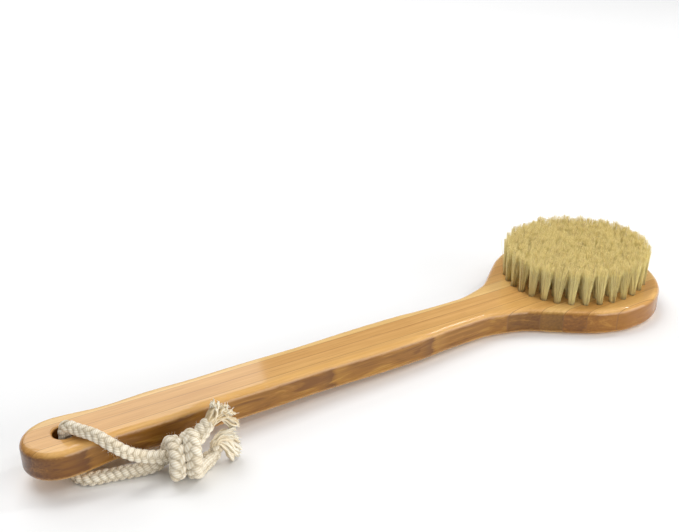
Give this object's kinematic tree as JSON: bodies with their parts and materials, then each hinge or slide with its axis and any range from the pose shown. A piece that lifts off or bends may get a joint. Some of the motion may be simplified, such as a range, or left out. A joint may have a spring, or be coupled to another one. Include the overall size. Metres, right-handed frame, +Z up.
{
  "type": "body dry brush",
  "caption": "Long-handled bamboo body brush: an oval field of natural bristle tufts on a paddle head, with a knotted cotton rope through the handle's end.",
  "frame": {"origin": "under the middle of the brush's length, on the plane that the head's flat back rests on", "axes": "+X along the brush from the hanging end to the head, +Y across it, +Z up, the way the bristles point"},
  "size_m": [0.356, 0.093, 0.0334],
  "materials": {
    "bamboo_honey": "satin lacquer",
    "bamboo_golden": "satin lacquer",
    "bamboo_pale": "satin lacquer",
    "natural_bristle": "stiff natural bristle",
    "anchor_metal": "plain drawn wire strip",
    "cotton_rope": "braided undyed cotton",
    "frayed_cotton": "loose undyed cotton yarns"
  },
  "bodies": {
    "brush": {"bamboo_strip_01": "bamboo_honey", "bamboo_strip_02": "bamboo_golden", "bamboo_strip_03": "bamboo_honey", "bamboo_strip_04": "bamboo_pale", "bamboo_strip_05": "bamboo_golden", "bamboo_strip_06": "bamboo_golden", "bamboo_strip_07": "bamboo_honey", "bamboo_strip_08": "bamboo_honey", "bamboo_strip_09": "bamboo_pale", "bamboo_strip_10": "bamboo_golden", "bamboo_strip_11": "bamboo_honey", "bamboo_strip_12": "bamboo_golden", "bamboo_strip_13": "bamboo_pale", "bamboo_strip_14": "bamboo_honey", "bristle_tufts_ring_1": "natural_bristle", "bristle_tufts_ring_2": "natural_bristle", "bristle_tufts_ring_3": "natural_bristle", "bristle_tufts_ring_4": "natural_bristle", "bristle_tufts_ring_5": "natural_bristle", "bristle_tufts_ring_6": "natural_bristle", "tuft_anchors_ring_1": "anchor_metal", "tuft_anchors_ring_2": "anchor_metal", "tuft_anchors_ring_3": "anchor_metal", "tuft_anchors_ring_4": "anchor_metal", "tuft_anchors_ring_5": "anchor_metal", "tuft_anchors_ring_6": "anchor_metal"},
    "rope_loop": {"hanging_rope": "cotton_rope", "rope_knot": "cotton_rope", "rope_end_upper": "frayed_cotton", "rope_end_lower": "frayed_cotton"}
  },
  "joints": [
    {"name": "rope_swing", "type": "hinge", "parent": "brush", "child": "rope_loop", "pos_m": [-0.1599, 0, 0.0134], "axis": [0, 0, -1], "range_deg": [0, 255]}
  ]
}
